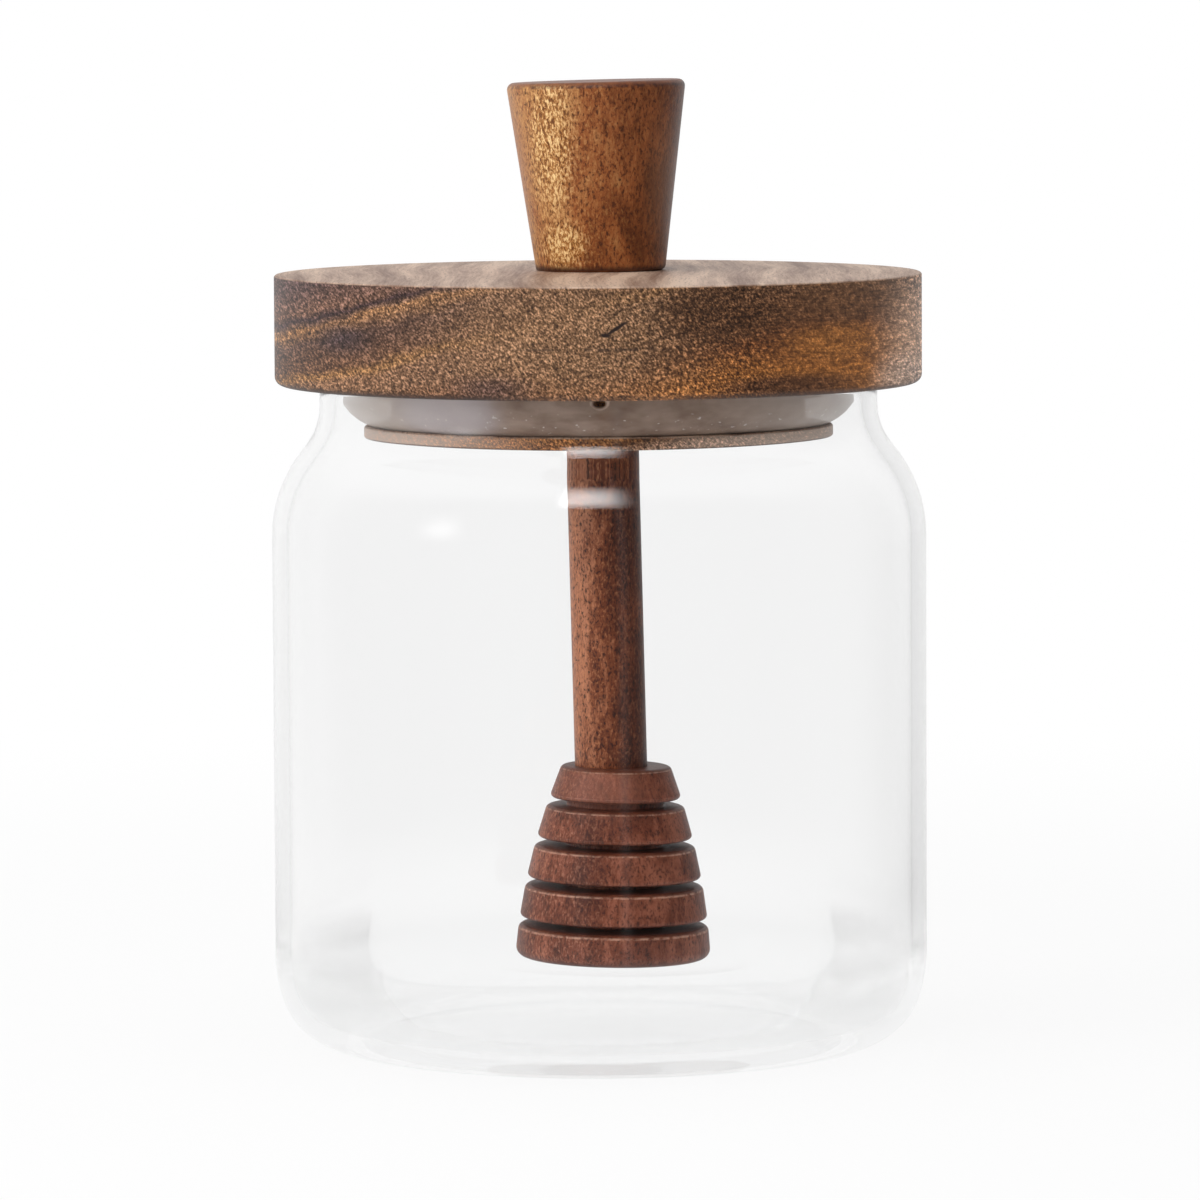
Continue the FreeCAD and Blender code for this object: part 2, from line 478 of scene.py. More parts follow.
# Patches over the bands, in the order they are laid on
LID_PATCHES = (
    ((-3, -42, 94.5), (24, 34, 14), 0.8, 0.9, (134, 98, 67)),       # middle of the front
    ((-13.5, -42, 88), (8, 20, 2.6), 0.9, 0.7, (80, 58, 52)),       # murk low on its left
    ((-32.5, -26, 94.0), (6, 25, 3.2), 0.9, 0.7, (56, 44, 46)),     # blot on the left
    ((15.5, -42, 97.5), (11, 22, 5.5), 0.6, 0.8, (92, 60, 36)),     # shade right of the middle
    ((31, -30, 93.2), (11, 22, 3.2), 0.7, 0.75, (164, 104, 48)),    # golden lens on the right
    ((28, -32, 98.6), (15, 25, 3.0), 0.7, 0.65, (104, 68, 42)),     # darker above the lens
    ((24, -34, 88.0), (14, 25, 2.0), 0.7, 0.85, (82, 52, 34)),      # and below it
    ((43.0, -9, 92.0), (12, 28, 13), 0.8, 0.84, (210, 168, 136)),   # pale right end: paler wood with a painted sheen of grazing light
    ((39.5, -14, 87.5), (8, 18, 5.5), 0.8, 0.9, (202, 170, 148)),   # its lower corner: a painted grey highlight
)

# Noises that multiply the colours: position in the noise and multiplier, and a span for the share
STREAKS = dict(scale=(0.45, 0.3, 5.0), shift=(9, 0, 2), detail=3.0, rough=0.65)
STREAK_STOPS = (
    (0.34, (0.55, 0.52, 0.5, 1)),
    (0.5, (0.98, 0.98, 0.98, 1)),
    (0.66, (1.5, 1.48, 1.42, 1)),
)
STREAK_SHARE = (2.0, 24.0, 0.0, 0.75)   # of x
END_FLECKS = dict(scale=(4.3, 0.28, 2.7), turn=(0, math.radians(38), 0), rough=0.7, distortion=0.2)
END_FLECK_STOPS = (
    (0.34, (0.12, 0.1, 0.1, 1)),
    (0.46, (0.6, 0.58, 0.58, 1)),
    (0.55, (1.15, 1.17, 1.22, 1)),
    (0.67, (2.9, 3.15, 3.7, 1)),
)
CALM = ((32, -24, 93), (17, 60, 13), 0.6)
END_FLECK_SHARE = (0.0, 1.0, 1.0, 0.4)  # of calm
COARSE = dict(scale=(1.5, 0.15, 1.7), rough=0.6)
COARSE_STOPS = (
    (0.36, (0.6, 0.58, 0.57, 1)),
    (0.5, (0.98, 0.98, 0.98, 1)),
    (0.64, (1.45, 1.45, 1.42, 1)),
)
COARSE_SHARE = (-6.0, 12.0, 0.35, 0.85)     # of x

# Bottom plate, paler towards its left and right: a painted reflection of the glass neck in front of it
PLATE = ((0, 0, 80.2), (60, 60, 3), 0.3)
PLATE_REFLECTION_ENDS = (4, 26)            # of the distance from the middle
PLATE_REFLECTION_SHARE = 0.75
PLATE_REFLECTION_COLOUR = (208, 188, 174)

# Rows of dark pores on the right of the front
PORE_ROWS = dict(scale=(1.6, 0.06, 3.4), shift=(7, 0, 3), rough=0.6)
PORE_ROWS_SHOW = (0.5, 0.6)
PORE_ROWS_AT = ((16, -42, 95.5), (17, 30, 9), 0.6)
PORE_ROWS_SHARE = 0.6
PORE_ROWS_COLOUR = (44, 27, 18)

# A thin dashed line across the front, and a crack with a knot
THIN_LINE = ((-1, -42, 92.95), (13, 9, 0.3), 0.6)
THIN_LINE_SHARE = 0.7
DASHES = dict(scale=(0.7, 0.1, 0.2), shift=(3, 0, 9))
DASHES_SHOW = (0.42, 0.55)
CRACK = ((2.3, -42, 95.6), (2.1, 6, 0.3), 0.5, (0, math.radians(32), 0))
KNOT = ((0.9, -42, 94.75), (0.8, 6, 0.34), 0.5)
CRACK_COLOUR = (40, 27, 22)

# Planed top: its streaks run front to back and bow a little
TOP_FACES = (0.3, 0.8)          # of the way up that they face
TOP_BOW = dict(scale=(0.03, 0.02, 0.0), shift=(3, 8, 0), detail=1.0)
TOP_BOW_SIZE = 6.0
TOP_STREAKS = (
    (dict(scale=(0.22, 0.012, 1), detail=3.0, rough=0.6), 0.7),
    (dict(scale=(2.6, 0.1, 1), detail=3.0, rough=0.7), 0.3),
)
TOP_STOPS = ((0.38, (120, 90, 72)), (0.5, (168, 140, 121)), (0.6, (204, 176, 154)))
TOP_PORES = dict(scale=(4.5, 0.35, 1), detail=1.0)
TOP_PORES_SHOW = (0.6, 0.7)
TOP_PORES_SHARE = 0.6
TOP_PORES_COLOUR = (84, 60, 48)

# Painted shade on the faces that look down, darker away from the middle
SHADE_UNDER_FACES = (-0.15, -0.8)
SHADE_UNDER_SHARE = (3.0, 18.0, 0.3, 0.8)     # of the distance from the middle
SHADE_UNDER_COLOUR = (58, 38, 30)

LID_ROUGHNESS = 0.5
FLECK_RELIEF = 0.6
CRACK_RELIEF = -2.0


def lid_bands(graph, x):
    """Colour of the end grain, in bands that rise to the right and level out there."""
    low, high = BAND_RANGE
    upright, sideways = BAND_TILT
    height = graph.calc("SUBTRACT", graph.part(graph.place(), "Z"), JAR_H / MM)
    band = graph.total(
        graph.product(height, upright),
        graph.product(x, sideways),
        graph.span(x, *BAND_LEVELS),
        *(graph.swing(graph.grain(**wave), size) for wave, size in BAND_WAVES),
    )
    share = graph.calc("DIVIDE", graph.calc("SUBTRACT", band, low), high - low)
    return graph.tones(share, [((place - low) / (high - low), colour) for place, colour in LID_BANDS])


def lid_top(graph):
    """Colour of the planed top."""
    aside = graph.node("CombineXYZ", {0: graph.product(graph.grain(**TOP_BOW), TOP_BOW_SIZE)})
    level = graph.scaled(graph.place(), (1, 1, 0))
    bowed = graph.node("VectorMath", {0: level, 1: aside}, operation="ADD")
    streak = graph.total(*(graph.product(graph.noise(bowed, **streak), share)
                           for streak, share in TOP_STREAKS))
    pores = graph.span(graph.noise(bowed, **TOP_PORES), *TOP_PORES_SHOW)
    return graph.lay(graph.tones(streak, TOP_STOPS), TOP_PORES_COLOUR, pores, TOP_PORES_SHARE)


def lid_wood():
    """Grain runs front to back, so the front shows end grain and the sides show streaks."""
    material, graph, shader = material_graph("lid_wood")
    x = graph.part(graph.place(), "X")
    off_middle = graph.calc("ABSOLUTE", x)
    base = graph.lay_patches(lid_bands(graph, x), LID_PATCHES)

    # Streaks and coarse patches grow to the right, and the end grain's flecks are fainter there
    flecks = graph.grain(**END_FLECKS)
    calm = graph.patch(*CALM)
    for amount, value, stops in (
        (graph.span(x, *STREAK_SHARE), graph.grain(**STREAKS), STREAK_STOPS),
        (graph.span(calm, *END_FLECK_SHARE), flecks, END_FLECK_STOPS),
        (graph.span(x, *COARSE_SHARE), graph.grain(**COARSE), COARSE_STOPS),
    ):
        base = graph.mix(amount, base, graph.ramp(value, stops), "MULTIPLY")

    # painted reflection on the plate's left and right ends
    plate_reflection = graph.product(graph.patch(*PLATE), graph.span(off_middle, *PLATE_REFLECTION_ENDS))
    base = graph.lay(base, PLATE_REFLECTION_COLOUR, plate_reflection, PLATE_REFLECTION_SHARE)
    rows = graph.product(graph.span(graph.grain(**PORE_ROWS), *PORE_ROWS_SHOW),
                         graph.patch(*PORE_ROWS_AT))
    base = graph.lay(base, PORE_ROWS_COLOUR, rows, PORE_ROWS_SHARE)
    dashes = graph.span(graph.grain(**DASHES), *DASHES_SHOW)
    thin = graph.product(graph.patch(*THIN_LINE), dashes, THIN_LINE_SHARE)
    cracks = graph.greatest(graph.patch(*CRACK), graph.patch(*KNOT))
    base = graph.lay(base, CRACK_COLOUR, graph.greatest(thin, cracks))

    up = graph.up()
    base = graph.mix(graph.span(up, *TOP_FACES), base, lid_top(graph))
    # painted shade on the underside and its rounded lower edge
    shade_under = graph.product(graph.span(up, *SHADE_UNDER_FACES), graph.span(off_middle, *SHADE_UNDER_SHARE))
    base = graph.lay(base, SHADE_UNDER_COLOUR, shade_under)
    relief = graph.total(graph.product(flecks, FLECK_RELIEF), graph.product(cracks, CRACK_RELIEF))
    set_inputs(graph, shader, Base_Color=base, IOR=WOOD_IOR, Roughness=LID_ROUGHNESS,
               Normal=graph.bump(relief))
    return material


# Turned wood: dark, middle and light tone, light flecks, pores, and the tone of upper edges: wear, and on
# the stick and head also a painted highlight
KNOB_TONES = ((104, 52, 18), (150, 84, 40), (180, 126, 74), (224, 174, 106), (58, 26, 10), (58, 32, 28))
STICK_TONES = ((80, 34, 14), (118, 58, 28), (176, 112, 78), (206, 136, 92), (48, 20, 8), (140, 96, 74))
HEAD_TONES = ((70, 30, 16), (114, 56, 34), (154, 90, 66), (200, 138, 108), (40, 16, 10), (204, 156, 132))

# Noises whose sum goes from the dark to the light tone, with the weight of each
LONG_GRAINS = (
    (dict(scale=(0.22, 0.22, 0.1), detail=4.0, rough=0.62, distortion=0.8), 1.7),
    (dict(scale=(1.5, 1.5, 0.09), detail=3.0, rough=0.6), 0.5),
)
TONE_RANGE = (0.6, 1.6)
SPECKS = dict(scale=(3.0, 3.0, 1.5), shift=(5, 0, 0), detail=2.5, rough=0.72, distortion=0.5)
LIGHT_SPECKS_SHOW = (0.5, 0.72)
DARK_SPECKS_SHOW = (0.5, 0.34)
# Light flecks of the grain show mostly on the lamp-lit left, where they are partly painted glints
GLINT_SIDE = (6, -8)             # of x
GLINT_RIGHT = 0.2                # light flecks on the right, as a share of those on the left

# Flat faces show darker end grain with growth rings; on the head's rings the darkening is also painted
# shade in the grooves
END_FACES = (0.35, 0.75)        # of how level they are
END_GRAIN_AND_SHADE_SHARE = 0.55
PITH_SHIFT = (-17, 11, 0)
PITH_SCALE = (0.55, 0.55, 0.0)
RING_BEND = dict(scale=(0.12, 0.12, 0.0), detail=3.0, rough=0.6)
RING_BEND_SIZE = 3.0
RING_RATE = 6.0
GROWTH_RINGS_SHOW = (-0.6, 1.0, 0.0, 0.45)

# Rounded upper edges take their own tone here and there: wear, and on the stick and head also a painted
# highlight where light catches them
RIM_ABOVE = (0.0, 0.25)        # of the way up that they face
RIM_BELOW = (0.75, 0.4)
CHIPS = dict(scale=(1.1, 1.1, 1.1), shift=(2, 3, 4), detail=3.0, rough=0.65)
CHIPS_SHOW = (0.36, 0.64)
RIM_SHARE = 0.8


def long_grain(name, tones, lean, gold, pores, roughness, extra=None):
    """Turned wood whose grain runs up the piece.

    lean tilts the tone across the piece as painted light and shade: above 0 it paints the left
    lighter and the right darker, as the lamps on the left light it, and below 0 it paints a sheen
    on the right. gold is how much the light flecks show on the lamp-lit left, where they are partly
    painted glints, and pores how much the dark ones do. extra(graph, base, specks) adds colours
    of the piece.
    """
    dark, middle, light, light_speck, pore, rim_tone = tones
    material, graph, shader = material_graph(name)
    x = graph.part(graph.place(), "X")
    # lean tilts the tone across x as painted light: lighter on the lamp-lit left above 0, and a painted
    # sheen on the right below 0
    value = graph.total(*(graph.product(graph.grain(**grain), weight) for grain, weight in LONG_GRAINS),
                        graph.product(x, -lean))
    base = graph.tones(graph.span(value, *TONE_RANGE), ((0.0, dark), (0.5, middle), (1.0, light)))
    specks = graph.grain(**SPECKS)
    # light flecks stronger on the lit left: grain with painted glints
    glint_share = graph.span(x, *GLINT_SIDE, gold * GLINT_RIGHT, gold)
    lit = graph.product(graph.span(specks, *LIGHT_SPECKS_SHOW), glint_share)
    base = graph.lay(base, light_speck, lit)
    base = graph.lay(base, pore, graph.span(specks, *DARK_SPECKS_SHOW), pores)
    if extra:
        base = extra(graph, base, specks)

    up = graph.up()
    flat = graph.span(graph.calc("ABSOLUTE", up), *END_FACES)
    # darker end grain, and painted shade on the faces of the head's rings in its grooves
    base = graph.lay(base, dark, flat, END_GRAIN_AND_SHADE_SHARE)
    from_pith = graph.length(graph.scaled(graph.place(shift=PITH_SHIFT), PITH_SCALE))
    bend = graph.grain(**RING_BEND)
    bent = graph.total(from_pith, graph.product(bend, RING_BEND_SIZE))
    rings = graph.calc("SINE", graph.product(bent, RING_RATE))
    base = graph.lay(base, middle, graph.product(flat, graph.span(rings, *GROWTH_RINGS_SHOW), bend))

    edge = graph.node("Attribute", attribute_name="edge", output="Fac")
    rim = graph.product(edge, graph.span(up, *RIM_ABOVE), graph.span(up, *RIM_BELOW))
    chips = graph.span(graph.grain(**CHIPS), *CHIPS_SHOW)
    # wear on the upper edges, and a painted highlight where they are paler
    base = graph.lay(base, rim_tone, graph.product(rim, chips), RIM_SHARE)
    set_inputs(graph, shader, Base_Color=base, IOR=WOOD_IOR, Roughness=roughness,
               Normal=graph.bump(specks))
    return material


# Golden wood on the left of the knob's front, above and below, with a painted highlight of the left lamp
# in its bright flecks
GILT_HIGHLIGHT_HIGH = ((-6.0, -9.0, 118), (3.9, 9, 13), 0.7)
GILT_HIGHLIGHT_LOW = ((-4.6, -8.0, 104.6), (4.2, 9, 4.2), 0.7)
GILT_HIGHLIGHT_RANGE = (0.34, 0.66)       # of the specks
GILT_HIGHLIGHT_STOPS = ((0.0, (104, 56, 20)), (0.5, (186, 128, 64)), (1.0, (255, 222, 160)))
GILT_HIGHLIGHT_SHARE = 0.8
KNOB_PATCHES = (
    ((0, 0, 101.1), (20, 20, 1.3), 0.6, 0.95, (48, 20, 10)),        # painted contact shadow at the foot
    ((9.4, -6, 112), (4.6, 9, 13), 0.9, 0.45, (132, 98, 74)),       # painted grey-brown sheen on the right side
    ((-11.5, -2, 113), (4.5, 9, 16), 0.8, 0.5, (146, 82, 42)),      # warm left side
    ((0, 0, 126.4), (20, 20, 2.0), 0.5, 0.85, (82, 52, 46)),        # brim
)


def knob_wood():
    def gilt_highlight_and_patches(graph, base, specks):
        # golden wood and a painted highlight of the left lamp
        gilt_highlight = graph.tones(graph.span(specks, *GILT_HIGHLIGHT_RANGE), GILT_HIGHLIGHT_STOPS)
        share = graph.product(graph.greatest(graph.patch(*GILT_HIGHLIGHT_HIGH), graph.patch(*GILT_HIGHLIGHT_LOW)), GILT_HIGHLIGHT_SHARE)
        return graph.lay_patches(graph.mix(share, base, gilt_highlight), KNOB_PATCHES)
    return long_grain("knob_wood", KNOB_TONES, lean=0.035, gold=0.6, pores=0.85, roughness=0.42,
                      extra=gilt_highlight_and_patches)


def stick_wood():
    return long_grain("stick_wood", STICK_TONES, lean=0.08, gold=1.0, pores=0.95, roughness=0.45)


HEAD_PATCHES = (
    ((HEAD_X / MM - 2, -8, 34), (9, 10, 5), 0.7, 0.3, (178, 114, 92)),  # paler top
)


def head_wood():
    def paler_top(graph, base, specks):
        return graph.lay_patches(base, HEAD_PATCHES)
    return long_grain("head_wood", HEAD_TONES, lean=-0.014, gold=0.55, pores=0.75, roughness=0.45,
                      extra=paler_top)


# Silicone
CLOUD = dict(scale=(0.25, 0.25, 0.6), detail=3.0)
CLOUD_STOPS = ((0.3, (138, 112, 96)), (0.7, (176, 152, 136)))
# Painted reflection of the glass neck, which makes the seal paler towards its left and right
SEAL_REFLECTION_ENDS = (12.0, 30.0, 0.0, 0.6)      # of the distance from the middle
SEAL_REFLECTION_COLOUR = (226, 212, 202)
# Painted reflection of a bright panel in the glass neck, on the seal's left
SEAL_LEFT_REFLECTION = (
    ((-19, -27, 84), (9, 18, 6), 0.6, 0.6, (222, 214, 218)),
)
# Painted glints: small pale specks round the seal
SPARKLE = dict(scale=(1.4, 1.4, 2.2), detail=1.0)
SPARKLE_SHOW = (0.68, 0.76)
SPARKLE_AT = ((0, 0, 83), (60, 60, 2.4), 0.5)
SPARKLE_COLOUR = (236, 226, 216)
SEAL_VENT = (
    ((VENT_X / MM, -36, VENT_TOP / MM), (1.5, 6, 1.4), 0.15, 0.9, (232, 208, 190)),     # its lip
    ((VENT_X / MM, -36, VENT_TOP / MM + 0.05), (1.2, 6, 1.1), 0.1, 1.0, (24, 12, 8)),   # painted shade in its hole
)


def silicone():
    """Cloudy grey silicone with painted reflections of the glass neck, paler at its left and right,
    painted glints, and painted shade in the vent in front.
    """
    material, graph, shader = material_graph("seal_silicone")
    off_middle = graph.calc("ABSOLUTE", graph.part(graph.place(), "X"))
    colour = graph.tones(graph.grain(**CLOUD), CLOUD_STOPS)
    # painted reflection, paler towards the left and right
    colour = graph.lay(colour, SEAL_REFLECTION_COLOUR, graph.span(off_middle, *SEAL_REFLECTION_ENDS))
    # painted reflection on the seal's left
    colour = graph.lay_patches(colour, SEAL_LEFT_REFLECTION)
    # painted glints
    sparkle = graph.product(graph.span(graph.grain(**SPARKLE), *SPARKLE_SHOW), graph.patch(*SPARKLE_AT))
    colour = graph.lay(colour, SPARKLE_COLOUR, sparkle)
    # the vent's pale lip, and painted shade in its hole
    colour = graph.lay_patches(colour, SEAL_VENT)
    set_inputs(graph, shader, Base_Color=colour, Roughness=0.35, IOR=1.41, Alpha=0.68)
    return material


# Glass
GLASS_COLOUR = (0.992, 0.992, 0.992, 1)
CLEAR_COLOUR = (0.976, 0.977, 0.977, 1)
HEEL_FADE = (15.5, 8.0, 0.0, 0.87)      # of the height, to the share that is plain see-through


def clear_glass():
    """Clear glass that lets lamps through, and that fades to plain see-through at the thick heel."""
    material, graph, shader = material_graph("clear_glass")
    set_inputs(graph, shader, Base_Color=GLASS_COLOUR, Roughness=0.0, IOR=1.4, Transmission_Weight=1.0)
    clear = graph.node("BsdfTransparent", {"Color": CLEAR_COLOUR})
    low = graph.span(graph.part(graph.place(), "Z"), *HEEL_FADE)
    share = graph.greatest(graph.ray("Is Shadow Ray"), graph.ray("Is Diffuse Ray"), low)
    graph.show(graph.node("MixShader", {0: share, 1: shader.outputs[0], 2: clear}), "Material Output")
    return material


def layered_noise(place, scales):
    """Noise about 0 of the first scale, with half as much of the second, finer one."""
    coarse, fine = scales
    return noise.noise(place * coarse) + 0.5 * noise.noise(place * fine)


def make_jar():
    shoulder_w = BODY_R - NECK_R
    slope = math.acos(1 - shoulder_w / (NECK_FILLET + SHOULDER_ROUND))
    half_rise = shoulder_w / 2 / math.tan(slope)
    body_bend = SHOULDER_MID - half_rise
    neck_bend = SHOULDER_MID + half_rise
    inner_shift = WALL * math.tan(slope / 2)
    lower_turn = math.pi / 2 - HEEL_SLOPE
    lower_setback = HEEL_LOWER_ROUND * math.tan(lower_turn / 2)
    heel_slant = HEEL_UPPER_ROUND * math.tan(HEEL_SLOPE / 2) + lower_setback
    heel_r = BODY_R - heel_slant * math.sin(HEEL_SLOPE)
    heel_z = heel_slant * math.cos(HEEL_SLOPE)
    foot_r = heel_r - lower_setback - FOOT_IN
    inner_heel_z = heel_z + WALL * math.tan(HEEL_SLOPE / 2)
    inner_heel_r = BODY_R - WALL - (inner_heel_z - FLOOR) * math.tan(HEEL_SLOPE)
    outline = [
        (0, PUSH_UP, 0),
        (foot_r - PUSH_UP_RUN, PUSH_UP, PUSH_UP_ROUND),
        (foot_r, 0, FOOT_ROUND),
        (heel_r, 0, HEEL_LOWER_ROUND * TIGHT),
        (BODY_R, heel_z, HEEL_UPPER_ROUND * TIGHT),
        (BODY_R, body_bend, SHOULDER_ROUND * TIGHT),
        (NECK_R, neck_bend, NECK_FILLET * TIGHT),
        (NECK_R, JAR_H, RIM_ROUND),
        (NECK_BORE_R, JAR_H, RIM_ROUND),
        (NECK_BORE_R, neck_bend - inner_shift, (NECK_FILLET + WALL) * TIGHT),
        (BODY_R - WALL, body_bend - inner_shift, (SHOULDER_ROUND - WALL) * TIGHT),
        (BODY_R - WALL, inner_heel_z, HEEL_UPPER_ROUND - WALL),
        (inner_heel_r, FLOOR, INNER_LOWER_ROUND),
        (0, FLOOR, 0),
    ]

    def uneven(place):
        """Blown glass: slow waves in the inner floor, and ripples low on the right."""
        radius = math.hypot(place.x, place.y)
        inside = place.z > INNER_LOW and radius < BODY_R - WALL / 2
        wave_share = max(0.0, 1 - place.z / WAVE_TOP) if inside else 0.0
        lift = Vector((0, 0, WAVE * layered_noise(place, WAVE_SCALES) * wave_share))
        if place.z > RIPPLE_TOP or radius < RIPPLE_INNER_R:
            return lift
        ripple_share = max(0.0, math.cos(math.atan2(place.x, -place.y) - RIPPLE_SIDE)) ** RIPPLE_NARROW
        ripple_share *= math.sin(math.pi * place.z / RIPPLE_TOP)
        ripple = RIPPLE * abs(layered_noise(place, RIPPLE_SCALES)) * ripple_share
        outward = Vector((place.x, place.y, 0)).normalized()
        return lift - outward * ripple
    return lathe("glass_jar", rounded(outline, WIDE_STEP), SEGMENTS, uneven)


def make_lid():
    outline = [
        (0, PLATE_LOW, 0),
        (NECK_BORE_R - PLATE_IN, PLATE_LOW, PLATE_ROUND),
        (NECK_BORE_R - PLATE_IN, PLATE_TOP, PLATE_ROUND),
        (NECK_BORE_R - GROOVE_IN, PLATE_TOP, 0),
        (NECK_BORE_R - GROOVE_IN, JAR_H, 0),
        (DISC_R, JAR_H, DISC_BOTTOM_ROUND),
        (DISC_R, LID_TOP, DISC_TOP_ROUND),
        (0, LID_TOP, 0),
    ]
    flat_from = LID_TOP - 0.1 * MM

    def crown(place):
        inward = 1 - (place.x ** 2 + place.y ** 2) / DISC_R ** 2
        return Vector((0, 0, CROWN * inward if place.z > flat_from else 0))
    return lathe("wooden_lid", rounded(outline, WIDE_STEP), SEGMENTS, crown)


def make_seal():
    outline = [
        (NECK_BORE_R - SEAL_INNER_IN, PLATE_TOP, 0),
        (NECK_BORE_R - SEAL_FOOT_IN, PLATE_TOP, 0),
        (NECK_BORE_R - SEAL_KNEE_IN, PLATE_TOP + SEAL_KNEE_UP, SEAL_FLARE_ROUND),
        (NECK_BORE_R - SEAL_LIP_IN, JAR_H, 0),
        (NECK_BORE_R - SEAL_INNER_IN, JAR_H, 0),
    ]

    def vent(place):
        """A small notch in the front of the seal's edge, which lets air out as the lid goes on."""
        across = (place.x - VENT_X) / (VENT_W / 2)
        down = max(0.0, VENT_TOP - place.z) / VENT_H
        reach = math.hypot(across, down)
        if place.y > 0 or reach >= 1:
            return Vector((0, 0, 0))
        depth = VENT_DEPTH * min(1.0, VENT_STEEP * (1 - reach))
        return Vector((-place.x, -place.y, 0)).normalized() * depth
    return lathe("silicone_seal", rounded(outline, SEAL_STEP), SEAL_SEGMENTS, vent)


def on_dipper_line(piece, side):
    """Move a piece turned about Z onto the leaning line that crosses the lid's top at side."""
    line = Matrix.Translation((side, 0, LID_TOP)) @ Matrix.Rotation(-DIPPER_LEAN, 4, "Y")
    piece.data.transform(line)
    return piece


def make_knob():
    outline = [
        (0, 0, 0),
        (KNOB_FOOT_R, CROWN - KNOB_SUNK, KNOB_FOOT_ROUND),
        (KNOB_TOP_R, KNOB_H, KNOB_TOP_ROUND),
        (0, KNOB_H, 0),
    ]
    return on_dipper_line(lathe("lid_knob", rounded(outline, ROD_STEP), SEGMENTS), KNOB_X)


def make_stick():
    outline = [
        (0, STICK_LOW, 0),
        (STICK_R, STICK_LOW, STICK_ROUND),
        (STICK_R, STICK_HIGH, STICK_ROUND),
        (0, STICK_HIGH, 0),
    ]
    return on_dipper_line(lathe("stick", rounded(outline, ROD_STEP), STICK_SEGMENTS), STICK_X)


def head_radius(depth):
    share = depth / HEAD_H
    return HEAD_TOP_R + HEAD_SPREAD * share + HEAD_BULGE * 4 * share * (1 - share)


def make_head():
    outline = [(0, 0, 0)]
    for ring in range(RINGS):
        top = ring * (RING_H + RING_GAP)
        bottom = top + RING_H
        if ring:
            outline.append((CORE_R, -top, 0))
        outline.append((head_radius(top), -top, RING_UPPER_ROUND))
        if ring < RINGS - 1:
            outline.append((head_radius(bottom), -bottom, RING_LOWER_ROUND))
            outline.append((CORE_R, -bottom, 0))
    outline.append((head_radius(HEAD_H), -HEAD_H, HEAD_BOTTOM_ROUND))
    outline.append((0, -HEAD_H, 0))
    piece = lathe("ringed_head", rounded(outline, HEAD_STEP), SEGMENTS)
    centre = Matrix.Translation((0, 0, -HEAD_H / 2))
    lean = centre @ Matrix.Rotation(HEAD_LEAN, 4, "Y") @ centre.inverted()
    piece.data.transform(Matrix.Translation((HEAD_X, 0, FLOOR + HEAD_RISE + HEAD_H)) @ lean)
    return piece


dress(make_jar(), clear_glass(), "glass", "jar")
dress(make_lid(), lid_wood(), "lid_wood", "lid")
dress(make_seal(), silicone(), "seal_silicone", "seal")
dress(make_knob(), knob_wood(), "knob_wood", "knob")
dress(make_stick(), stick_wood(), "stick_wood", "dipper_stick")
dress(make_head(), head_wood(), "head_wood", "dipper_head")


def make_camera():
    data = bpy.data.cameras.new("camera")
    data.sensor_width = SENSOR_WIDTH
    data.lens = LENS
    camera = bpy.data.objects.new("camera", data)
    bpy.context.collection.objects.link(camera)
    camera.location = (CAMERA_SIDE, -CAMERA_DISTANCE, CAMERA_HEIGHT)
    tilt = Matrix.Rotation(math.radians(90 - CAMERA_PITCH), 4, "X")
    roll = Matrix.Rotation(math.radians(-CAMERA_ROLL), 4, "Z")
    camera.rotation_euler = (tilt @ roll).to_euler()
    bpy.context.scene.camera = camera


def azimuth_of(graph, direction):
    """Azimuth of a direction in radians."""
    right = graph.part(direction, "X")
    back = graph.part(direction, "Y")
    return graph.calc("ARCTAN2", graph.product(right, -1.0), graph.product(back, -1.0))


def mirrored_studio(graph, direction):
    """Brightness that gloss and glass reflect: dim from the front, white from behind."""
    right = graph.part(direction, "X")
    back = graph.part(direction, "Y")
    share = graph.node("MapRange", {"Value": back, "From Min": -1.0, "From Max": 1.0})
    tones = graph.ramp(share, [(position, (level, level, level, 1)) for position, level in MIRRORED])
    level = graph.total(tones, graph.span(right, *LEFT_GLOW))
    level = graph.calc("SUBTRACT", level, graph.product(graph.span(right, *RIGHT_LOSS), tones))
    azimuth = azimuth_of(graph, direction)
    for strip, *angles in STRIPS:
        near, far, soft = (math.radians(angle) for angle in (*angles, STRIP_SOFT))
        across = graph.window(azimuth, near, far, soft, soft)
        level = graph.total(level, graph.product(across, strip))
    return level


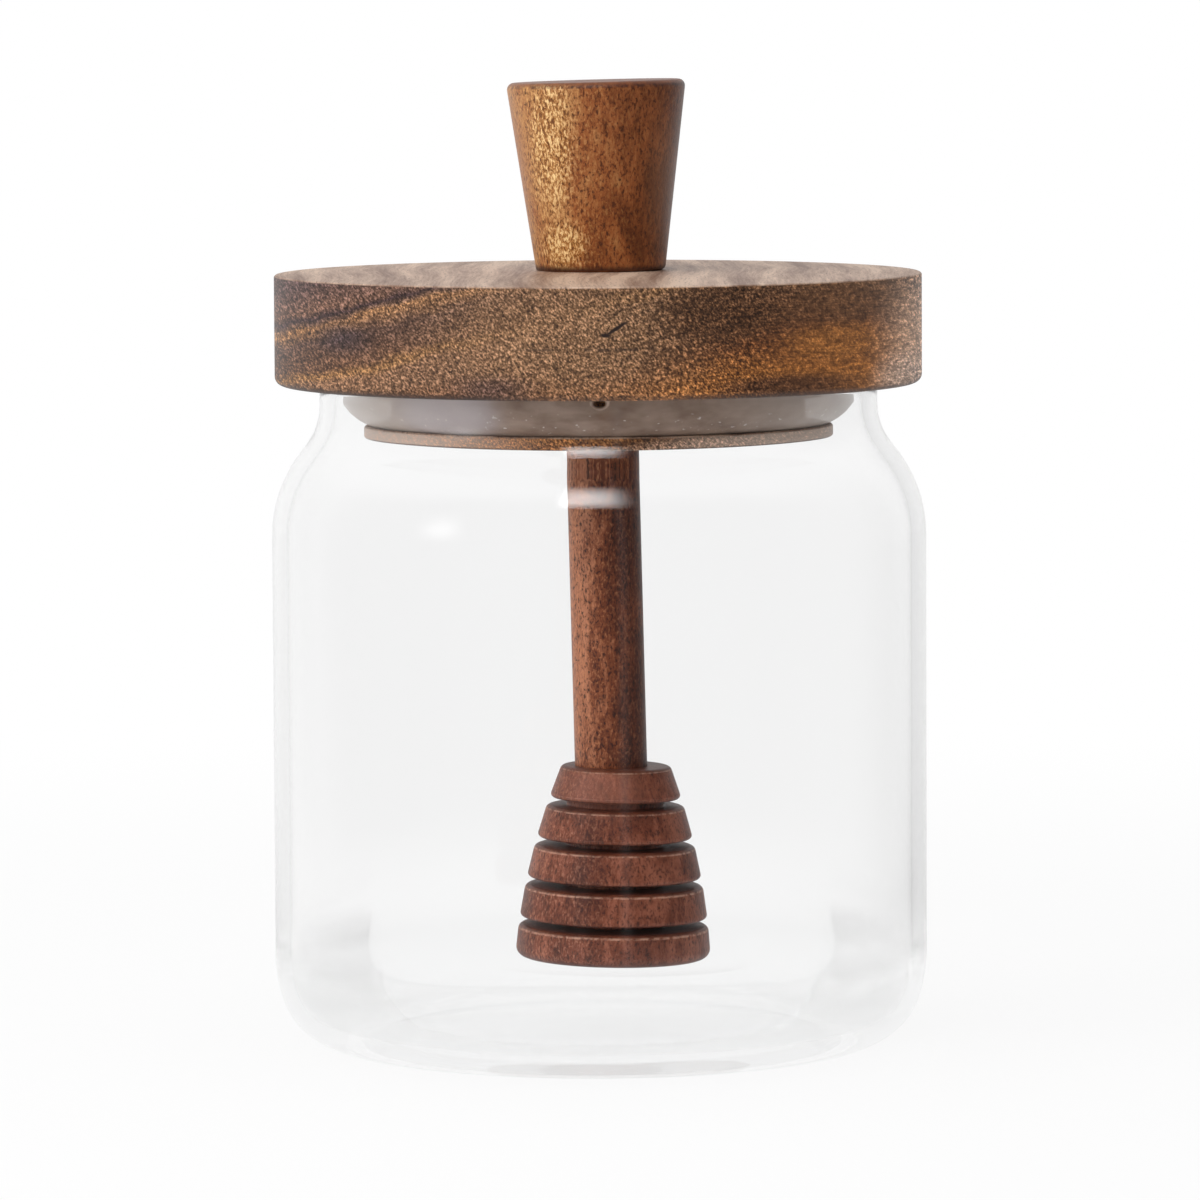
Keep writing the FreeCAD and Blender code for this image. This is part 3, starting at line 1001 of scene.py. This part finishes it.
def make_world():
    """White where the camera sees it, the mirrored studio for gloss and an even fill for the rest."""
    world = bpy.data.worlds.new("studio")
    bpy.context.scene.world = world
    world.use_nodes = True
    graph = Graph(world.node_tree)
    aim = graph.node("TexCoord", output="Generated")
    mirror = mirrored_studio(graph, aim)
    azimuth = azimuth_of(graph, aim)
    elevation = graph.part(aim, "Z")
    for level, *angles, low, high, soft_low, soft_high in PANELS:
        across = graph.window(azimuth, *(math.radians(angle) for angle in angles))
        along = graph.window(elevation, low, high, soft_low, soft_high)
        mirror = graph.total(mirror, graph.product(across, along, level))
    fill = graph.node("Background", {"Color": FILL_COLOUR, "Strength": FILL})
    studio = graph.node("Background", {"Color": (1, 1, 1, 1), "Strength": mirror})
    white = graph.node("Background", {"Color": (1, 1, 1, 1), "Strength": 1.0})
    transmitted = graph.ray("Is Transmission Ray")
    reflected = graph.calc("GREATER_THAN", graph.ray("Glossy Depth"), 0.5)
    through = graph.calc("GREATER_THAN", transmitted, reflected)
    seen = graph.greatest(graph.ray("Is Camera Ray"), through)
    glossy = graph.greatest(graph.ray("Is Glossy Ray"), transmitted)
    lit = graph.node("MixShader", {0: glossy, 1: fill, 2: studio})
    graph.show(graph.node("MixShader", {0: seen, 1: lit, 2: white}), "World Output")


def area_light(name, azimuth, elevation, distance, width, height, watts):
    """Rectangle that faces the jar's middle and isn't seen itself. Angles are in degrees."""
    data = bpy.data.lights.new(name, "AREA")
    data.shape = "RECTANGLE"
    data.size = width
    data.size_y = height
    data.energy = watts
    light = bpy.data.objects.new(name, data)
    bpy.context.collection.objects.link(light)
    left = math.radians(azimuth)
    rise = math.radians(elevation)
    out = Vector((-math.sin(left) * math.cos(rise), -math.cos(left) * math.cos(rise), math.sin(rise)))
    light.location = out * distance + LAMPS_AIM
    light.rotation_euler = (-out).to_track_quat("-Z", "Y").to_euler()
    light.visible_camera = False
    light.visible_transmission = False
    light.visible_glossy = False


def make_floor():
    """Plain white ground. It takes the object's shadow nearby and is the backdrop's white far off."""
    bpy.ops.mesh.primitive_plane_add(size=GROUND_SIZE)
    floor = bpy.context.object
    floor.name = "floor"
    material, graph, shader = material_graph("floor_white")
    set_inputs(graph, shader, Base_Color=(GROUND_LEVEL, GROUND_LEVEL, GROUND_LEVEL, 1), Roughness=0.9)
    spot = graph.node("TexCoord", output="Object")
    reach = graph.length(spot)
    aim = graph.node("VectorMath", {0: spot}, operation="NORMALIZE")
    mirrored = graph.between(graph.span(reach, *GROUND_MIRROR), GROUND_LEVEL,
                             mirrored_studio(graph, aim))
    reflected = graph.calc("GREATER_THAN", graph.ray("Glossy Depth"), 0.5)
    strength = graph.between(reflected, 1.0, mirrored)
    white = graph.node("Emission", {"Color": (1, 1, 1, 1), "Strength": strength})
    seen = graph.greatest(graph.ray("Is Camera Ray"), graph.ray("Is Transmission Ray"))
    share = graph.greatest(graph.product(seen, graph.span(reach, *GROUND_WHITE)),
                           graph.ray("Is Glossy Ray"))
    graph.show(graph.node("MixShader", {0: share, 1: shader.outputs[0], 2: white}), "Material Output")
    floor.data.materials.append(material)


bpy.context.scene.view_settings.view_transform = "Standard"
make_camera()
make_world()
for lamp in LAMPS:
    area_light(*lamp)
make_floor()
